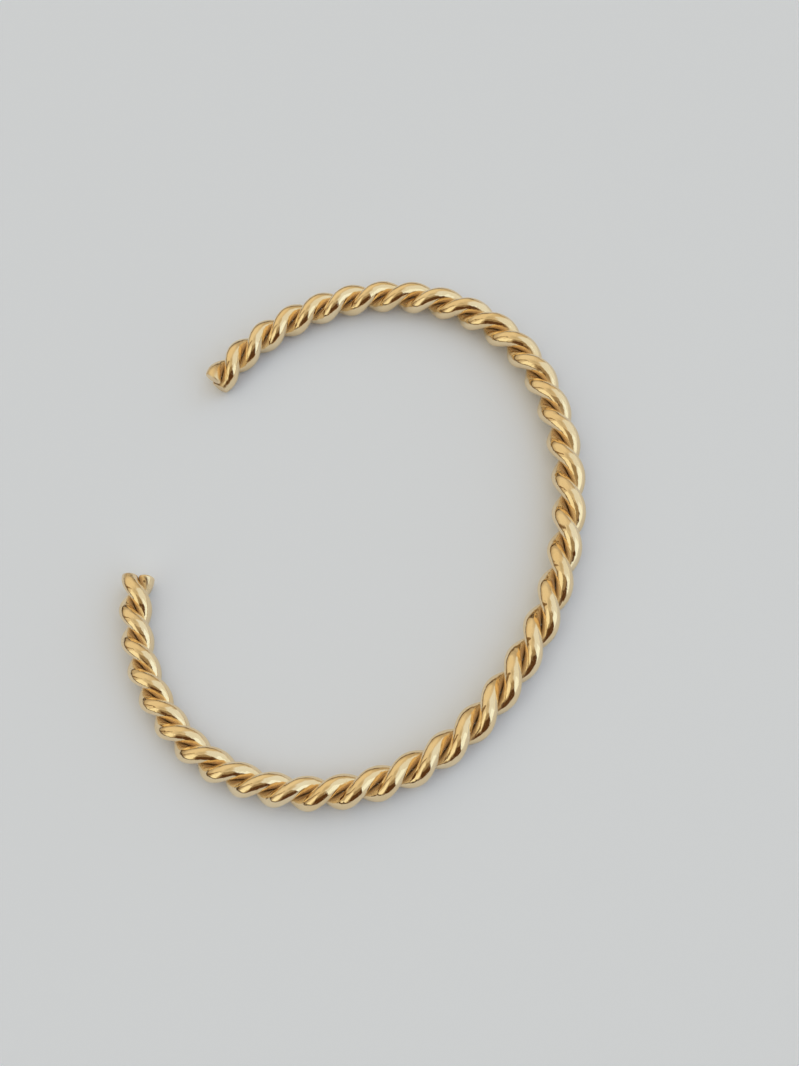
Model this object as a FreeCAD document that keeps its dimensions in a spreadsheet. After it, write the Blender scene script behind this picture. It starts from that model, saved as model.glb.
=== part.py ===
import FreeCAD, Part
import Sketcher
import math
import os

# An open cuff bangle: two round wires of one gauge, twisted together into a
# rope with a left-hand lay, cut square and bent to an oval with a wide gap.
# It lies flat. The origin is on the floor under the middle of its box, +Z is
# up, +Y is its long way, its back is at +X and its gap is at -X.

# Driving sizes, in millimetres, degrees and counts
DRIVING_SIZES = [
    # alias, value, what it sizes
    ("wire_diameter", 2.0, "gauge of each of the two round wires"),
    ("wire_play", 0.03, "clear space between the wires where they cross"),
    ("long_arm_radius", 28.0, "bend of the arm that reaches further, to the rope's middle"),
    ("long_arm_angle", 41.0, "how far that arm turns"),
    ("long_side_radius", 24.4, "bend of the rounded side next to it"),
    ("long_side_angle", 100.0, "how far that side turns"),
    ("back_radius", 40.3, "bend of the flat back"),
    ("back_angle", 65.2, "how far the back turns"),
    ("short_side_radius", 24.4, "bend of the other rounded side"),
    ("short_side_angle", 100.0, "how far that side turns"),
    ("short_arm_radius", 24.0, "bend of the arm that stops early"),
    ("short_arm_angle", 23.2, "how far that arm turns"),
    ("back_reach", 26.14, "from the origin to the rope's middle at the back"),
    ("first_wire_angle", 169.0, "the first wire at the long arm's end, from inward towards up"),
    ("pitch_1", 8.42, "length of one turn of the twist at the long arm's end"),
    ("pitch_2", 8.24, "one eighth of the way round"),
    ("pitch_3", 8.20, "two eighths"),
    ("pitch_4", 8.75, "three eighths"),
    ("pitch_5", 9.43, "half way, where the twist is loosest"),
    ("pitch_6", 9.30, "five eighths"),
    ("pitch_7", 8.62, "six eighths"),
    ("pitch_8", 8.17, "seven eighths"),
    ("pitch_9", 8.05, "at the short arm's end"),
    ("points_per_turn", 6, "points that shape each wire's line in one turn"),
    ("spare_length", 2.0, "rope past each end, before it is cut square"),
    ("cutter_size", 8.0, "side of the block that takes the spare rope off"),
    ("edge_round", 0.2, "rounding of the cut edges"),
]
ARCS = ["long_arm", "long_side", "back", "short_side", "short_arm"]
PITCHES = [alias for alias, value, meaning in DRIVING_SIZES if alias.startswith("pitch_")]
UP = FreeCAD.Vector(0, 0, 1)

doc = FreeCAD.newDocument("twisted_wire_bangle")
sheet = doc.addObject("Spreadsheet::Sheet", "sizes")
for row, (alias, value, meaning) in enumerate(DRIVING_SIZES, start=1):
    sheet.set("A%d" % row, alias)
    sheet.set("B%d" % row, str(value))
    sheet.set("C%d" % row, meaning)
    sheet.setAlias("B%d" % row, alias)
doc.recompute()


def size(alias):
    """A driving size from the sheet, as a plain number."""
    return float(getattr(sheet, alias))


def polar(angle, length):
    """A level vector of a length, turned from +X by an angle in degrees."""
    turned = FreeCAD.Rotation(UP, angle)
    return turned.multVec(FreeCAD.Vector(length, 0, 0))


# The cuff line is the rope's middle: five tangent arcs, level, at half the rope's height
def draw_cuff_line():
    """Sketch the cuff line, anticlockwise from the long arm's end."""
    layout = doc.addObject("PartDesign::Body", "cuff_layout")
    level = [item for item in layout.Origin.OriginFeatures if item.Role == "XY_Plane"]
    sketch = layout.newObject("Sketcher::SketchObject", "cuff_line")
    sketch.AttachmentSupport = [(level[0], "")]
    sketch.MapMode = "FlatFace"
    sketch.setExpression("AttachmentOffset.Base.z", "sizes.wire_diameter + sizes.wire_play / 2")

    # Each arc starts where the last one ends, and is drawn near its place first
    back_start = -size("back_angle") / 2
    heading = back_start - size("long_side_angle") - size("long_arm_angle")
    centre = FreeCAD.Vector(size("back_reach") - size("back_radius"), 0, 0)
    centre += polar(back_start, size("back_radius") - size("long_side_radius"))
    corner = back_start - size("long_side_angle")
    centre += polar(corner, size("long_side_radius") - size("long_arm_radius"))
    last_radius = size("long_arm_radius")
    for name in ARCS:
        radius = size(name + "_radius")
        centre += polar(heading, last_radius - radius)
        circle = Part.Circle(centre, UP, radius)
        end = heading + size(name + "_angle")
        arc = Part.ArcOfCircle(circle, math.radians(heading), math.radians(end))
        sketch.addGeometry(arc, False)
        heading = end
        last_radius = radius

    start_point, end_point, centre_point = 1, 2, 3
    x_axis, origin = -1, 1
    back = ARCS.index("back")
    for index in range(len(ARCS) - 1):
        joint = Sketcher.Constraint("Tangent", index, end_point, index + 1, start_point)
        sketch.addConstraint(joint)
    sketch.addConstraint(
        Sketcher.Constraint("PointOnObject", back, centre_point, x_axis))
    sketch.addConstraint(
        Sketcher.Constraint("Vertical", back, start_point, back, end_point))
    for index, name in enumerate(ARCS):
        for kind, alias in (("Radius", name + "_radius"), ("Angle", name + "_angle")):
            value = size(alias) if kind == "Radius" else math.radians(size(alias))
            number = sketch.addConstraint(Sketcher.Constraint(kind, index, value))
            sketch.renameConstraint(number, alias)
            unit = " * 1 mm" if kind == "Radius" else " * 1 deg"
            sketch.setExpression("Constraints." + alias, "sizes." + alias + unit)
    centre_reach = size("back_radius") - size("back_reach")
    number = sketch.addConstraint(
        Sketcher.Constraint("DistanceX", back, centre_point, x_axis, origin, centre_reach))
    sketch.renameConstraint(number, "back_centre")
    sketch.setExpression("Constraints.back_centre", "(sizes.back_radius - sizes.back_reach) * 1 mm")
    doc.recompute()
    if sketch.solve() != 0 or not sketch.FullyConstrained:
        raise RuntimeError("the cuff line is not held by its sizes")
    return sketch


cuff_line = draw_cuff_line()
cuff_arcs = Part.sortEdges(cuff_line.Shape.Edges)[0]
cuff_length = sum(arc.Length for arc in cuff_arcs)


def on_cuff_line(distance):
    """Place and heading on the cuff line, straight on past its two ends."""
    arc = cuff_arcs[0]
    for following in cuff_arcs[1:]:
        if distance <= arc.Length:
            break
        distance -= arc.Length
        arc = following
    along = min(max(distance, 0), arc.Length)
    turn = arc.getParameterByLength(along)
    heading = arc.tangentAt(turn).normalize()
    return arc.valueAt(turn) + heading * (distance - along), heading


# The twist: turns per millimetre change evenly from one pitch of the sheet to the next
def turns_made(distance):
    """Turns of the twist from the long arm's end to a distance along the cuff line."""
    rates = [1 / size(alias) for alias in PITCHES]
    stretch = cuff_length / (len(rates) - 1)
    turns = 0
    for rate, next_rate in zip(rates, rates[1:]):
        within = min(distance, stretch)
        turns += rate * within + (next_rate - rate) / stretch * within * within / 2
        distance -= within
        if distance <= 0:
            return turns
    return turns + rates[-1] * distance


def on_wire(distance, lead):
    """Place on a wire's middle, beside a distance along the cuff line."""
    place, heading = on_cuff_line(distance)
    inward = UP.cross(heading)
    angle = math.radians(size("first_wire_angle") + lead - 360 * turns_made(distance))
    helix_radius = (size("wire_diameter") + size("wire_play")) / 2
    return place + (inward * math.cos(angle) + UP * math.sin(angle)) * helix_radius


def wire_heading(distance, lead):
    """Direction of a wire beside a distance along the cuff line."""
    short_step = 0.001
    ahead = on_wire(distance + short_step, lead)
    behind = on_wire(distance - short_step, lead)
    return (ahead - behind).normalize()


# A wire's line is a chain of arcs that run smoothly into each other
def corner_arc(start, corner, end):
    """The arc that touches both legs of a corner whose legs are equally long."""
    half_chord = (end - start).Length / 2
    middle = (start + end) / 2
    leg = (corner - start).Length
    crown = middle + (corner - middle) * (half_chord / (leg + half_chord))
    return Part.Arc(start, crown, end).toShape()


def arc_pair(start, start_heading, end, end_heading):
    """Two arcs from start to end that keep both headings and one tangent where they meet."""
    chord = end - start
    headings = start_heading + end_heading
    spread = 4 - headings.dot(headings)
    lean = chord.dot(headings)
    leg = (math.sqrt(lean * lean + spread * chord.dot(chord)) - lean) / spread
    first_corner = start + start_heading * leg
    second_corner = end - end_heading * leg
    meeting = (first_corner + second_corner) / 2
    return [corner_arc(start, first_corner, meeting), corner_arc(meeting, second_corner, end)]


def draw_wire_line(name, lead):
    """The middle line of one wire, with its spare length at both ends."""
    spare = size("spare_length")
    count = math.ceil(turns_made(cuff_length) * size("points_per_turn"))
    step = (cuff_length + 2 * spare) / count
    stations = [index * step - spare for index in range(count + 1)]
    points = [on_wire(distance, lead) for distance in stations]
    headings = [wire_heading(distance, lead) for distance in stations]
    arcs = []
    for index in range(count):
        arcs += arc_pair(points[index], headings[index], points[index + 1], headings[index + 1])
    line = doc.addObject("Part::Feature", name + "_line")
    line.Shape = Part.Wire(arcs)
    return line, points[0], headings[0]


# The blocks that cut the rope square to its own line at both ends
def draw_end_cutter(name, distance, outward_sign):
    """A block whose face is the cut, standing past one end of the cuff line."""
    place, heading = on_cuff_line(distance)
    outward = heading * outward_sign
    turn = FreeCAD.Rotation(FreeCAD.Vector(1, 0, 0), outward)
    block = doc.addObject("Part::Box", name)
    for side in ("Length", "Width", "Height"):
        block.setExpression(side, "sizes.cutter_size * 1 mm")
    half = size("cutter_size") / 2
    block.Placement = FreeCAD.Placement(place - turn.multVec(FreeCAD.Vector(0, half, half)), turn)
    return block


cutters = doc.addObject("Part::Compound", "end_cutters")
cutters.Links = [draw_end_cutter("long_arm_cutter", 0, -1),
                 draw_end_cutter("short_arm_cutter", cuff_length, 1)]


# Each wire: a round section along its line, cut square at both ends, edges rounded
def cut_edges(shape):
    """Numbers of the edges round the two flat cuts, a wire's only flat faces."""
    flats = [face for face in shape.Faces if isinstance(face.Surface, Part.Plane)]
    rims = [edge for face in flats for edge in face.Edges]
    return [number for number, edge in enumerate(shape.Edges, start=1)
            if any(edge.isSame(rim) for rim in rims)]


def make_wire(name, lead):
    """One of the two wires, as a solid of its own."""
    line, start, heading = draw_wire_line(name, lead)
    section = doc.addObject("Part::Circle", name + "_section")
    section.setExpression("Radius", "sizes.wire_diameter / 2 * 1 mm")
    section.Placement = FreeCAD.Placement(start, FreeCAD.Rotation(UP, heading))
    drawn = doc.addObject("Part::Sweep", name + "_drawn")
    drawn.Sections = [section]
    drawn.Spine = (line, ["Edge%d" % (index + 1) for index in range(len(line.Shape.Edges))])
    drawn.Solid = True
    drawn.Frenet = False
    trimmed = doc.addObject("Part::Cut", name + "_trimmed")
    trimmed.Base = drawn
    trimmed.Tool = cutters
    doc.recompute()
    wire = doc.addObject("Part::Fillet", name)
    wire.Base = trimmed
    radius = size("edge_round")
    wire.Edges = [(number, radius, radius) for number in cut_edges(trimmed.Shape)]
    wire.Label = name
    return wire


wires = [make_wire("first_wire", 0), make_wire("second_wire", 180)]
doc.recompute()

# Every object is sound before anything is written
for item in doc.Objects:
    if "Invalid" in item.State or "Error" in item.State:
        raise RuntimeError(item.Name + " failed")
for wire in wires:
    if wire.Shape.isNull() or not wire.Shape.isValid():
        raise RuntimeError(wire.Label + " is not a sound shape")

os.makedirs("parts", exist_ok=True)
for wire in wires:
    wire.Shape.exportStep(os.path.join("parts", wire.Label + ".step"))
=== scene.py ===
import math

import bpy
import numpy as np
from mathutils import Matrix, Vector


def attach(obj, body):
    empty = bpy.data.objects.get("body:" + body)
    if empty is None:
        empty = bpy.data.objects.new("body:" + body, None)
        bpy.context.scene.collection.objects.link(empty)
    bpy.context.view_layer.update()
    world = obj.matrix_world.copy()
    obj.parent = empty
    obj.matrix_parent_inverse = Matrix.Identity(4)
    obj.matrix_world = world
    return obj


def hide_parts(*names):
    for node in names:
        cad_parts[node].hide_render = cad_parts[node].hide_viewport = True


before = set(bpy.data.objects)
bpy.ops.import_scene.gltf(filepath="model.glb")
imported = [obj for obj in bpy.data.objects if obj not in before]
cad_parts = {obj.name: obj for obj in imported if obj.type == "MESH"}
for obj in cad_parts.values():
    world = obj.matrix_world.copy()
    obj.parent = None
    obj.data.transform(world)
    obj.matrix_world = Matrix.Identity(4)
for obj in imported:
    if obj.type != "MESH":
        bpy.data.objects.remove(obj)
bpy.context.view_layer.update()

# The two wires
# Each is round brass wire, 2 mm thick, drawn through a die. The two are twisted left-hand into a
# rope, bent round a mandrel to an open oval, sawn off square together, filed and plated with
# gold. They are separate solids, held by nothing but the twist.
MM = 0.001
WIRE_RADIUS = 1.0 * MM
WIRE_PLAY = 0.03 * MM
TWIST_RADIUS = WIRE_RADIUS + WIRE_PLAY / 2
MIDDLE_HEIGHT = 2 * WIRE_RADIUS + WIRE_PLAY / 2
CUFF_ARCS = [
    # stretch, bend radius in mm, how far it turns in degrees
    ("long arm", 28.0, 41.0),
    ("long side", 24.4, 100.0),
    ("back", 40.3, 65.2),
    ("short side", 24.4, 100.0),
    ("short arm", 24.0, 23.2),
]
BACK_REACH = 26.14 * MM
# Length of one turn of the twist, at nine even steps from the long arm's end to the short arm's.
TWIST_PITCHES = np.array([8.42, 8.24, 8.20, 8.75, 9.43, 9.30, 8.62, 8.17, 8.05]) * MM
FIRST_WIRE_ANGLE = 169.0
UP = np.array([0.0, 0.0, 1.0])


def polar(angle, length):
    """A level vector of a length, turned from +X by an angle in radians."""
    return np.array([math.cos(angle) * length, math.sin(angle) * length, 0.0])


def lay_out_arcs():
    """Start, centre, radius and first angle of each arc, anticlockwise from the long arm's end."""
    radii = [radius * MM for name, radius, turn in CUFF_ARCS]
    turns = [math.radians(turn) for name, radius, turn in CUFF_ARCS]
    back = [name for name, radius, turn in CUFF_ARCS].index("back")
    angles = [-turns[back] / 2 + sum(turns[back:index]) - sum(turns[index:back])
              for index in range(len(turns))]
    centres = {back: np.array([BACK_REACH - radii[back], 0.0, MIDDLE_HEIGHT])}
    for index in range(back, len(turns) - 1):
        centres[index + 1] = centres[index] + polar(angles[index + 1], radii[index] - radii[index + 1])
    for index in range(back, 0, -1):
        centres[index - 1] = centres[index] + polar(angles[index], radii[index] - radii[index - 1])
    lengths = [radius * turn for radius, turn in zip(radii, turns)]
    starts = np.concatenate([[0], np.cumsum(lengths)])
    return starts, np.array([centres[index] for index in range(len(turns))]), radii, angles


ARC_STARTS, ARC_CENTRES, ARC_RADII, ARC_ANGLES = lay_out_arcs()
ROPE_LENGTH = ARC_STARTS[-1]


def on_rope(distance):
    """Place, heading and way inward on the rope's middle line, at each distance along it."""
    index = np.clip(np.searchsorted(ARC_STARTS, distance) - 1, 0, len(CUFF_ARCS) - 1)
    radius = np.array(ARC_RADII)[index]
    angle = np.array(ARC_ANGLES)[index] + (distance - ARC_STARTS[index]) / radius
    outward = np.stack([np.cos(angle), np.sin(angle), 0 * angle], -1)
    heading = np.stack([-np.sin(angle), np.cos(angle), 0 * angle], -1)
    return ARC_CENTRES[index] + outward * radius[..., None], heading, -outward


def turns_made(distance):
    """Turns of the twist from the long arm's end to each distance along the rope."""
    rates = 1 / TWIST_PITCHES
    stretch = ROPE_LENGTH / (len(TWIST_PITCHES) - 1)
    whole = np.concatenate([[0], np.cumsum((rates[1:] + rates[:-1]) / 2 * stretch)])
    index = np.clip((distance // stretch).astype(int), 0, len(TWIST_PITCHES) - 2)
    within = distance - index * stretch
    growth = (rates[index + 1] - rates[index]) / stretch
    return whole[index] + rates[index] * within + growth * within ** 2 / 2


def on_wire(distance, lead):
    """Middle of a wire, and the way out from the rope's middle to it."""
    place, heading, inward = on_rope(distance)
    angle = np.radians(FIRST_WIRE_ANGLE + lead) - 2 * np.pi * turns_made(distance)
    out = inward * np.cos(angle)[..., None] + UP * np.sin(angle)[..., None]
    return place + out * TWIST_RADIUS, out


def wire_surface(distance, around, lead, radius):
    """Points on a tube about a wire's middle, with their outward normals."""
    short_step = 0.001 * MM
    middle, out = on_wire(distance, lead)
    ahead = on_wire(distance + short_step, lead)[0] - on_wire(distance - short_step, lead)[0]
    ahead /= np.linalg.norm(ahead, axis=-1, keepdims=True)
    side = np.cross(ahead, out)
    normal = out * np.cos(around)[..., None] + side * np.sin(around)[..., None]
    return middle + normal * radius, normal


WIRE_SIDES = 64
WIRE_RINGS = 1180
EDGE_ROUND = 0.2 * MM
EDGE_STEPS = 5
CUT_TRIES = 20


def cut_edge(end_distance, outward_sign, around, lead):
    """Where the tube gives way to the rounded edge of a square cut, and that edge's rows."""
    place, heading, inward = on_rope(np.array([end_distance]))
    outward = heading[0] * outward_sign
    inner_radius = WIRE_RADIUS - EDGE_ROUND
    distance = np.full(WIRE_SIDES, end_distance)
    for step in range(CUT_TRIES):
        centre, normal = wire_surface(distance, around, lead, inner_radius)
        short_by = -EDGE_ROUND - (centre - place[0]) @ outward
        distance = distance + short_by * outward_sign
    rows = []
    for step in range(1, EDGE_STEPS + 1):
        between = np.arccos(np.clip(normal @ outward, -1, 1))[:, None]
        share = step / EDGE_STEPS
        turned = normal * np.sin((1 - share) * between) + outward * np.sin(share * between)
        rows.append(centre + turned / np.sin(between) * EDGE_ROUND)
    return distance, rows


def keep_straight_wire(mesh, distance, around):
    """Store each point's place on the wire as if it were straight, for the lines along it."""
    run = np.concatenate([np.repeat(distance[:1], EDGE_STEPS, 0), distance,
                          np.repeat(distance[-1:], EDGE_STEPS, 0)])
    straight = np.stack([np.broadcast_to(np.cos(around), run.shape) * WIRE_RADIUS,
                         np.broadcast_to(np.sin(around), run.shape) * WIRE_RADIUS, run], -1)
    kept = mesh.attributes.new("straight_wire", "FLOAT_VECTOR", "POINT")
    kept.data.foreach_set("vector", straight.astype(np.float32).ravel())


def build_wire(name, lead):
    """One wire as a closed mesh: its long wall is slot 0, its two cut faces are slot 1."""
    around = np.arange(WIRE_SIDES) * 2 * np.pi / WIRE_SIDES
    first, first_rows = cut_edge(0.0, -1, around, lead)
    last, last_rows = cut_edge(ROPE_LENGTH, 1, around, lead)
    share = np.linspace(0, 1, WIRE_RINGS)[:, None]
    distance = first[None, :] * (1 - share) + last[None, :] * share
    tube, normal = wire_surface(distance, np.broadcast_to(around, distance.shape), lead, WIRE_RADIUS)
    rows = first_rows[::-1] + list(tube) + last_rows
    points = np.array(rows).reshape(-1, 3)

    row = np.arange(len(rows) - 1)[:, None] * WIRE_SIDES
    here = np.arange(WIRE_SIDES)[None, :]
    after = (here + 1) % WIRE_SIDES
    walls = np.stack([row + here, row + after, row + WIRE_SIDES + after, row + WIRE_SIDES + here], -1)
    first_cap = list(range(WIRE_SIDES))[::-1]
    last_cap = [(len(rows) - 1) * WIRE_SIDES + index for index in range(WIRE_SIDES)]
    faces = walls.reshape(-1, 4).tolist() + [first_cap, last_cap]

    mesh = bpy.data.meshes.new(name)
    mesh.from_pydata(points.tolist(), [], faces)
    mesh.polygons.foreach_set("use_smooth", [True] * len(faces))
    mesh.polygons.foreach_set("material_index", [0] * (len(faces) - 2) + [1, 1])
    keep_straight_wire(mesh, distance, around)
    piece = bpy.data.objects.new(name, mesh)
    bpy.context.scene.collection.objects.link(piece)
    return piece


def linear(hex_colour):
    """A linear colour with alpha from an sRGB hex value."""
    parts = [int(hex_colour[start:start + 2], 16) / 255 for start in (1, 3, 5)]
    return [part / 12.92 if part <= 0.04045 else ((part + 0.055) / 1.055) ** 2.4
            for part in parts] + [1.0]


def add_node(tree, kind, settings, inputs):
    """A node of a kind, with its settings, and its inputs set or linked by name or number."""
    made = tree.nodes.new(kind)
    for name, value in settings.items():
        setattr(made, name, value)
    for name, value in inputs.items():
        if isinstance(value, bpy.types.NodeSocket):
            tree.links.new(value, made.inputs[name])
        else:
            made.inputs[name].default_value = value
    return made


def new_material(name):
    """An empty node material and its tree."""
    material = bpy.data.materials.new(name)
    material.use_nodes = True
    material.node_tree.nodes.clear()
    return material, material.node_tree


GOLD = "#F9E3BB"
THIN_GOLD = "#F6DAAA"
THIN_PATCH = 5.0 * MM
POLISHED_ROUGHNESS = 0.035
DIE_LINE = 0.16 * MM
DIE_LINE_DEPTH = 0.004 * MM
DIE_LINE_ROUGHNESS = 0.06
ALONG_THE_WIRE = 0.025
TWIST_WAVE = 1.1 * MM
TWIST_WAVE_DEPTH = 0.10 * MM
HAIRLINE = 0.12 * MM
HAIRLINE_DEPTH = 0.003 * MM
HAIRLINE_ROUGHNESS = 0.10
HAIRLINE_SLANT = (0.3, 0.5, 0.9)
HAIRLINE_STRETCH = (1.0, 0.03, 1.0)
# The grooves' matt tan is a painted reflection of the other wire, with painted shade.
GROOVE_PAINTED_REFLECTION = "#DCB67A"
GROOVE_PAINT_FULL = -0.75 * WIRE_RADIUS
GROOVE_PAINT_GONE = 0.05 * WIRE_RADIUS
GROOVE_PAINT_WANDER = 0.25 * WIRE_RADIUS
GROOVE_PAINT_ROUGHNESS = 0.40
GROOVE_PAINT_COVER = 0.85
# The brown beside the line where the wires touch is painted shade.
CONTACT_PAINTED_SHADE = "#8C683E"
CONTACT_DARK = -0.85 * WIRE_RADIUS
CONTACT_CLEAR = -0.45 * WIRE_RADIUS
PIT_BROWN = "#6B4A24"
PIT_PLACE = (-24.976 * MM, -9.722 * MM, 2.449 * MM)
PIT_RADIUS = 0.22 * MM
PIT_DEPTH = 0.03 * MM
RUBBED_LENGTH = 2.2 * MM
RUBBED_ROUGHNESS = 0.22


# Gold-plated brass, drawn through a die, twisted, tumbled and polished. It gives a clear but not
# quite even mirror, with faint lines along the wire. The grooves are painted matt tan, a painted
# reflection of the other wire with painted shade, and brown at the bottom, painted shade.
def gold_plated_drawn_brass():
    """The finish of the long wall of each wire."""
    material, tree = new_material("gold_plated_drawn_brass")
    straight = add_node(tree, "ShaderNodeAttribute", {"attribute_name": "straight_wire"}, {})
    straight_parts = add_node(tree, "ShaderNodeSeparateXYZ", {}, {0: straight.outputs["Vector"]})
    place = add_node(tree, "ShaderNodeTexCoord", {}, {})

    # Lines left by the die run along the wire. Real ones are a few hundredths of a
    # millimetre apart, so they are drawn several times coarser to show.
    along = add_node(tree, "ShaderNodeVectorMath", {"operation": "MULTIPLY"}, {
        0: straight.outputs["Vector"], 1: (1.0, 1.0, ALONG_THE_WIRE)})
    die_lines = add_node(tree, "ShaderNodeTexNoise", {}, {
        "Vector": along.outputs[0], "Scale": 1 / DIE_LINE, "Detail": 3.0, "Roughness": 0.6})

    # Twisting leaves the wire very slightly wavy, which bends its reflections.
    waves = add_node(tree, "ShaderNodeTexNoise", {}, {
        "Vector": straight.outputs["Vector"], "Scale": 1 / TWIST_WAVE, "Detail": 1.5,
        "Roughness": 0.45})

    # Hairline scratches from wear run at a slant across the rope. They are finer than this
    # on a real one, and are drawn as coarse as they need to show.
    slanted = add_node(tree, "ShaderNodeMapping", {"vector_type": "POINT"}, {
        "Vector": place.outputs["Object"], "Rotation": HAIRLINE_SLANT, "Scale": HAIRLINE_STRETCH})
    scratch_noise = add_node(tree, "ShaderNodeTexNoise", {}, {
        "Vector": slanted.outputs[0], "Scale": 1 / HAIRLINE, "Detail": 2.0, "Roughness": 0.7})
    scratches = add_node(tree, "ShaderNodeMapRange", {"interpolation_type": "SMOOTHSTEP"}, {
        "Value": scratch_noise.outputs["Fac"], "From Min": 0.60, "From Max": 0.70,
        "To Min": 0.0, "To Max": 1.0})

    # The plating is a little thinner and redder in patches.
    patches = add_node(tree, "ShaderNodeTexNoise", {}, {
        "Vector": straight.outputs["Vector"], "Scale": 1 / THIN_PATCH, "Detail": 3.0})
    patch_share = add_node(tree, "ShaderNodeMapRange", {}, {
        "Value": patches.outputs["Fac"], "From Min": 0.35, "From Max": 0.70,
        "To Min": 0.0, "To Max": 1.0})
    plated = add_node(tree, "ShaderNodeMix", {"data_type": "RGBA"}, {
        0: patch_share.outputs["Result"], 6: linear(GOLD), 7: linear(THIN_GOLD)})

    # Where the wires face each other, the groove is painted matt tan: a painted reflection of the
    # other wire, with painted shade. The wire's straightened X is lowest where it faces the other
    # wire.
    groove_side = add_node(tree, "ShaderNodeMath", {"operation": "MULTIPLY_ADD"}, {
        0: waves.outputs["Fac"], 1: GROOVE_PAINT_WANDER, 2: straight_parts.outputs["X"]})
    groove_paint = add_node(tree, "ShaderNodeMapRange", {"interpolation_type": "SMOOTHSTEP"}, {
        "Value": groove_side.outputs[0], "From Min": GROOVE_PAINT_FULL, "From Max": GROOVE_PAINT_GONE,
        "To Min": 1.0, "To Max": 0.0})
    groove_painted = add_node(tree, "ShaderNodeMix", {"data_type": "RGBA"}, {
        0: groove_paint.outputs["Result"], 6: plated.outputs[2], 7: linear(GROOVE_PAINTED_REFLECTION)})
    metal_share = add_node(tree, "ShaderNodeMath", {"operation": "MULTIPLY_ADD"}, {
        0: groove_paint.outputs["Result"], 1: -GROOVE_PAINT_COVER, 2: 1.0})

    # Beside the line where the wires touch, the groove is painted brown: painted shade in the crease.
    contact = add_node(tree, "ShaderNodeMapRange", {"interpolation_type": "SMOOTHSTEP"}, {
        "Value": groove_side.outputs[0], "From Min": CONTACT_DARK, "From Max": CONTACT_CLEAR,
        "To Min": 1.0, "To Max": 0.0})
    contact_shaded = add_node(tree, "ShaderNodeMix", {"data_type": "RGBA"}, {
        0: contact.outputs["Result"], 6: groove_painted.outputs[2], 7: linear(CONTACT_PAINTED_SHADE)})

    # One small pit shows near the long arm's end.
    pit_distance = add_node(tree, "ShaderNodeVectorMath", {"operation": "DISTANCE"}, {
        0: place.outputs["Object"], 1: PIT_PLACE})
    pit = add_node(tree, "ShaderNodeMapRange", {"interpolation_type": "SMOOTHSTEP"}, {
        "Value": pit_distance.outputs["Value"], "From Min": 0.4 * PIT_RADIUS,
        "From Max": PIT_RADIUS, "To Min": 0.8, "To Max": 0.0})
    pitted = add_node(tree, "ShaderNodeMix", {"data_type": "RGBA"}, {
        0: pit.outputs["Result"], 6: contact_shaded.outputs[2], 7: linear(PIT_BROWN)})

    # The last of each wire was rubbed as its edge was filed, and is satin.
    from_end = add_node(tree, "ShaderNodeMath", {"operation": "PINGPONG"}, {
        0: straight_parts.outputs["Z"], 1: ROPE_LENGTH / 2})
    rubbed = add_node(tree, "ShaderNodeMapRange", {"interpolation_type": "SMOOTHSTEP"}, {
        "Value": from_end.outputs[0], "From Min": 0.3 * RUBBED_LENGTH, "From Max": RUBBED_LENGTH,
        "To Min": RUBBED_ROUGHNESS, "To Max": 0.0})

    roughness = add_node(tree, "ShaderNodeMath", {"operation": "MULTIPLY_ADD"}, {
        0: die_lines.outputs["Fac"], 1: DIE_LINE_ROUGHNESS, 2: POLISHED_ROUGHNESS})
    scratched = add_node(tree, "ShaderNodeMath", {"operation": "MULTIPLY_ADD"}, {
        0: scratches.outputs["Result"], 1: HAIRLINE_ROUGHNESS, 2: roughness.outputs[0]})
    matt = add_node(tree, "ShaderNodeMath", {"operation": "MULTIPLY_ADD"}, {
        0: groove_paint.outputs["Result"], 1: GROOVE_PAINT_ROUGHNESS, 2: scratched.outputs[0]})
    satin = add_node(tree, "ShaderNodeMath", {"operation": "ADD"}, {
        0: matt.outputs[0], 1: rubbed.outputs["Result"]})

    wavy = add_node(tree, "ShaderNodeBump", {}, {
        "Strength": 1.0, "Distance": TWIST_WAVE_DEPTH, "Height": waves.outputs["Fac"]})
    lined = add_node(tree, "ShaderNodeBump", {}, {
        "Strength": 1.0, "Distance": DIE_LINE_DEPTH, "Height": die_lines.outputs["Fac"],
        "Normal": wavy.outputs["Normal"]})
    marked = add_node(tree, "ShaderNodeBump", {"invert": True}, {
        "Strength": 1.0, "Distance": HAIRLINE_DEPTH, "Height": scratches.outputs["Result"],
        "Normal": lined.outputs["Normal"]})
    sunk = add_node(tree, "ShaderNodeBump", {"invert": True}, {
        "Strength": 1.0, "Distance": PIT_DEPTH, "Height": pit.outputs["Result"],
        "Normal": marked.outputs["Normal"]})
    shader = add_node(tree, "ShaderNodeBsdfPrincipled", {}, {
        "Base Color": pitted.outputs[2], "Metallic": metal_share.outputs[0],
        "Roughness": satin.outputs[0], "Normal": sunk.outputs["Normal"]})
    add_node(tree, "ShaderNodeOutputMaterial", {}, {"Surface": shader.outputs["BSDF"]})
    return material


FILE_MARK = 0.11 * MM
FILE_MARK_DEPTH = 0.02 * MM
FILE_MARK_ROUGHNESS = 0.12
FILED_ROUGHNESS = 0.24
ACROSS_THE_FILE = (0.06, 0.06, 1.0)


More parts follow.
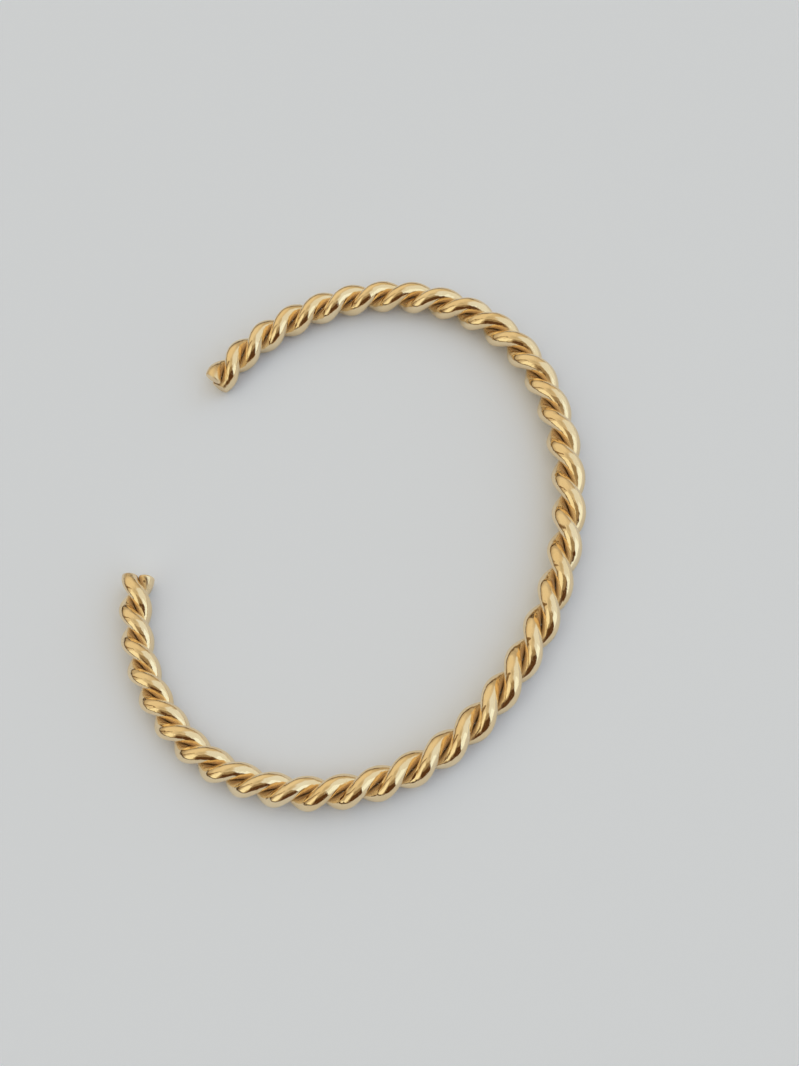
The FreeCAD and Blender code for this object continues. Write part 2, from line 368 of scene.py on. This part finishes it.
# Brass sawn through, filed flat and then plated. It gives a satin face with level file marks,
# drawn about as coarse as a smooth-cut file leaves them.
def filed_and_plated_brass():
    """The finish of the cut faces."""
    material, tree = new_material("filed_and_plated_brass")
    place = add_node(tree, "ShaderNodeTexCoord", {}, {})
    level = add_node(tree, "ShaderNodeVectorMath", {"operation": "MULTIPLY"}, {
        0: place.outputs["Object"], 1: ACROSS_THE_FILE})
    marks = add_node(tree, "ShaderNodeTexNoise", {}, {
        "Vector": level.outputs[0], "Scale": 1 / FILE_MARK, "Detail": 2.0, "Roughness": 0.6})
    tone = add_node(tree, "ShaderNodeMix", {"data_type": "RGBA"}, {
        0: marks.outputs["Fac"], 6: linear(THIN_GOLD), 7: linear(GOLD)})
    roughness = add_node(tree, "ShaderNodeMath", {"operation": "MULTIPLY_ADD"}, {
        0: marks.outputs["Fac"], 1: FILE_MARK_ROUGHNESS, 2: FILED_ROUGHNESS})
    cut = add_node(tree, "ShaderNodeBump", {}, {
        "Strength": 1.0, "Distance": FILE_MARK_DEPTH, "Height": marks.outputs["Fac"]})
    shader = add_node(tree, "ShaderNodeBsdfPrincipled", {}, {
        "Base Color": tone.outputs[2], "Metallic": 1.0,
        "Roughness": roughness.outputs[0], "Normal": cut.outputs["Normal"]})
    add_node(tree, "ShaderNodeOutputMaterial", {}, {"Surface": shader.outputs["BSDF"]})
    return material


HALF_A_TURN = 180.0

wire_finishes = [gold_plated_drawn_brass(), filed_and_plated_brass()]
for node, lead in (("first_wire", 0.0), ("second_wire", HALF_A_TURN)):
    piece = build_wire(node + "_gold", lead)
    for finish in wire_finishes:
        piece.data.materials.append(finish)
    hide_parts(node)
    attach(piece, "root")

# The floor
# A plain studio floor in matt pale paint, level and wide enough to fill every view.
FLOOR_PAINT = "#E7EFFF"
FLOOR_HALF = 2.5


# Matt pale paint, rolled on. It gives an even tone with hardly any shine.
def rolled_matt_paint():
    """The finish of the floor."""
    material, tree = new_material("rolled_matt_paint")
    shader = add_node(tree, "ShaderNodeBsdfPrincipled", {}, {
        "Base Color": linear(FLOOR_PAINT), "Roughness": 0.7, "Specular IOR Level": 0.2})
    add_node(tree, "ShaderNodeOutputMaterial", {}, {"Surface": shader.outputs["BSDF"]})
    return material


floor_mesh = bpy.data.meshes.new("floor")
corners = [(-FLOOR_HALF, -FLOOR_HALF, 0), (FLOOR_HALF, -FLOOR_HALF, 0),
           (FLOOR_HALF, FLOOR_HALF, 0), (-FLOOR_HALF, FLOOR_HALF, 0)]
floor_mesh.from_pydata(corners, [], [(0, 1, 2, 3)])
floor = bpy.data.objects.new("floor", floor_mesh)
bpy.context.scene.collection.objects.link(floor)
floor.data.materials.append(rolled_matt_paint())

# The studio light
# Soft light from all round, warm, with a broad cool window to the right, a small warm one at the
# left, and shade between them. A faint overhead box brightens the floor.
SKY_BANDS = [
    # elevation in degrees, colour
    (0, "#A59680"),
    (12, "#BBAC92"),
    (30, "#D4C6AA"),
    (50, "#DED0B2"),
    (75, "#D3C6AB"),
    (90, "#C2B69B"),
]
LIT_AREAS = [
    # what it is, its middle's azimuth and elevation, half width, half height and soft edge in
    # degrees, colour, strength; a later one covers an earlier one
    ("warm ceiling", 145, 48, 60, 24, 24, "#E9DBBB", 1.0),
    ("dark skirting", 170, 2, 88, 6, 2, "#524232", 1.0),
    ("window frame", -171, 36, 5, 28, 4, "#7D6444", 1.0),
    ("dim wall", -75, 35, 38, 30, 14, "#9C8A6C", 1.0),
    ("broad window", 8, 32, 50, 38, 10, "#EAF0F0", 0.97),
    ("bright pane", -22, 25, 22, 19, 5, "#EAF8FF", 1.2),
    ("small window", -134, 32, 17, 24, 5, "#FAF5D8", 1.05),
    ("shade", -75, 7, 31, 34, 6, "#583C25", 1.0),
]
BACKDROP = "#CDCFCF"


def level_direction(azimuth):
    """A level direction from its azimuth in degrees, anticlockwise from +X."""
    return (math.cos(math.radians(azimuth)), math.sin(math.radians(azimuth)), 0.0)


def inside_range(tree, value, half, edge):
    """A socket that is 1 where a value is near 0 and fades to 0 past a half width in degrees."""
    size = add_node(tree, "ShaderNodeMath", {"operation": "ABSOLUTE"}, {0: value})
    fade = add_node(tree, "ShaderNodeMapRange", {"interpolation_type": "SMOOTHERSTEP"}, {
        "Value": size.outputs[0], "From Min": math.radians(half - edge / 2),
        "From Max": math.radians(half + edge / 2), "To Min": 1.0, "To Max": 0.0})
    return fade.outputs["Result"]


def lit_area(tree, toward, height, azimuth, elevation, half_width, half_height, edge):
    """A socket that is 1 inside a soft-edged area of the sky and 0 outside."""
    across = add_node(tree, "ShaderNodeVectorMath", {"operation": "DOT_PRODUCT"}, {
        0: toward, 1: level_direction(azimuth + 90)})
    along = add_node(tree, "ShaderNodeVectorMath", {"operation": "DOT_PRODUCT"}, {
        0: toward, 1: level_direction(azimuth)})
    turn = add_node(tree, "ShaderNodeMath", {"operation": "ARCTAN2"}, {
        0: across.outputs["Value"], 1: along.outputs["Value"]})
    rise = add_node(tree, "ShaderNodeMath", {"operation": "ARCSINE"}, {0: height})
    above = add_node(tree, "ShaderNodeMath", {"operation": "SUBTRACT"}, {
        0: rise.outputs[0], 1: math.radians(elevation)})
    both = add_node(tree, "ShaderNodeMath", {"operation": "MULTIPLY"}, {
        0: inside_range(tree, turn.outputs[0], half_width, edge),
        1: inside_range(tree, above.outputs[0], half_height, edge)})
    return both.outputs[0]


def build_sky():
    """The studio's light as a sky of soft bands, windows and shade."""
    world = bpy.data.worlds.new("studio")
    world.use_nodes = True
    tree = world.node_tree
    tree.nodes.clear()
    toward = add_node(tree, "ShaderNodeTexCoord", {}, {}).outputs["Generated"]
    height = add_node(tree, "ShaderNodeSeparateXYZ", {}, {0: toward}).outputs["Z"]
    bands = add_node(tree, "ShaderNodeValToRGB", {}, {"Fac": height})
    ramp = bands.color_ramp
    while len(ramp.elements) < len(SKY_BANDS):
        ramp.elements.new(0.5)
    for element, (elevation, colour) in zip(ramp.elements, SKY_BANDS):
        element.position = math.sin(math.radians(elevation))
        element.color = linear(colour)
    glow = bands.outputs["Color"]
    for name, azimuth, elevation, half_width, half_height, edge, colour, strength in LIT_AREAS:
        inside = lit_area(tree, toward, height, azimuth, elevation, half_width, half_height, edge)
        bright = [part * strength for part in linear(colour)[:3]] + [1.0]
        laid = add_node(tree, "ShaderNodeMix", {"data_type": "RGBA"}, {0: inside, 6: glow, 7: bright})
        glow = laid.outputs[2]
    light = add_node(tree, "ShaderNodeBackground", {}, {"Color": glow, "Strength": 1.0})
    plain = add_node(tree, "ShaderNodeBackground", {}, {"Color": linear(BACKDROP), "Strength": 1.0})
    seen = add_node(tree, "ShaderNodeLightPath", {}, {})
    mixed = add_node(tree, "ShaderNodeMixShader", {}, {
        "Fac": seen.outputs["Is Camera Ray"],
        1: light.outputs["Background"], 2: plain.outputs["Background"]})
    add_node(tree, "ShaderNodeOutputWorld", {}, {"Surface": mixed.outputs["Shader"]})
    bpy.context.scene.world = world


SOFT_BOX_WIDTH = 100.0
SOFT_BOX_LIGHT = 0.38
SOFT_BOX_TILT = 20.0
SOFT_BOX_COLOUR = "#E8EEFF"


def hang_soft_box():
    """A wide, faint overhead light that only brightens matt surfaces."""
    lamp = bpy.data.lights.new("soft_box", "SUN")
    lamp.angle = math.radians(SOFT_BOX_WIDTH)
    lamp.energy = SOFT_BOX_LIGHT
    lamp.color = linear(SOFT_BOX_COLOUR)[:3]
    box = bpy.data.objects.new("soft_box", lamp)
    box.rotation_euler = (0.0, math.radians(SOFT_BOX_TILT), 0.0)
    box.visible_glossy = False
    bpy.context.scene.collection.objects.link(box)


build_sky()
hang_soft_box()
bpy.context.scene.view_settings.view_transform = "Standard"
# Light bounces many times between two bright wires, so the grooves need this many to be lit.
bpy.context.scene.cycles.glossy_bounces = 12

# The camera
# Held in the hand over the bangle, it looks down steeply from the closed back's side and is
# rolled a little.
CAMERA_TARGET = Vector((6.02, -0.16, 2.02)) * MM
CAMERA_DISTANCE = 176.9 * MM
CAMERA_AZIMUTH = 38.26
CAMERA_ELEVATION = 61.60
CAMERA_ROLL = 29.85
LENS_PIXELS = 1476.6
PICTURE_HEIGHT = 1066
SENSOR = 36.0
NEAREST_SEEN = 0.01


def place_camera():
    """The camera from its target, distance, angles and roll."""
    lens = bpy.data.cameras.new("camera")
    lens.sensor_width = SENSOR
    lens.lens = LENS_PIXELS * SENSOR / PICTURE_HEIGHT
    lens.clip_start = NEAREST_SEEN
    camera = bpy.data.objects.new("camera", lens)
    bpy.context.scene.collection.objects.link(camera)
    azimuth = math.radians(CAMERA_AZIMUTH)
    elevation = math.radians(CAMERA_ELEVATION)
    back = Vector((math.sin(azimuth) * math.cos(elevation),
                   -math.cos(azimuth) * math.cos(elevation), math.sin(elevation)))
    level = (-back).to_track_quat("-Z", "Y").to_matrix().to_4x4()
    roll = Matrix.Rotation(math.radians(-CAMERA_ROLL), 4, "Z")
    camera.matrix_world = Matrix.Translation(CAMERA_TARGET + back * CAMERA_DISTANCE) @ level @ roll
    bpy.context.scene.camera = camera


place_camera()
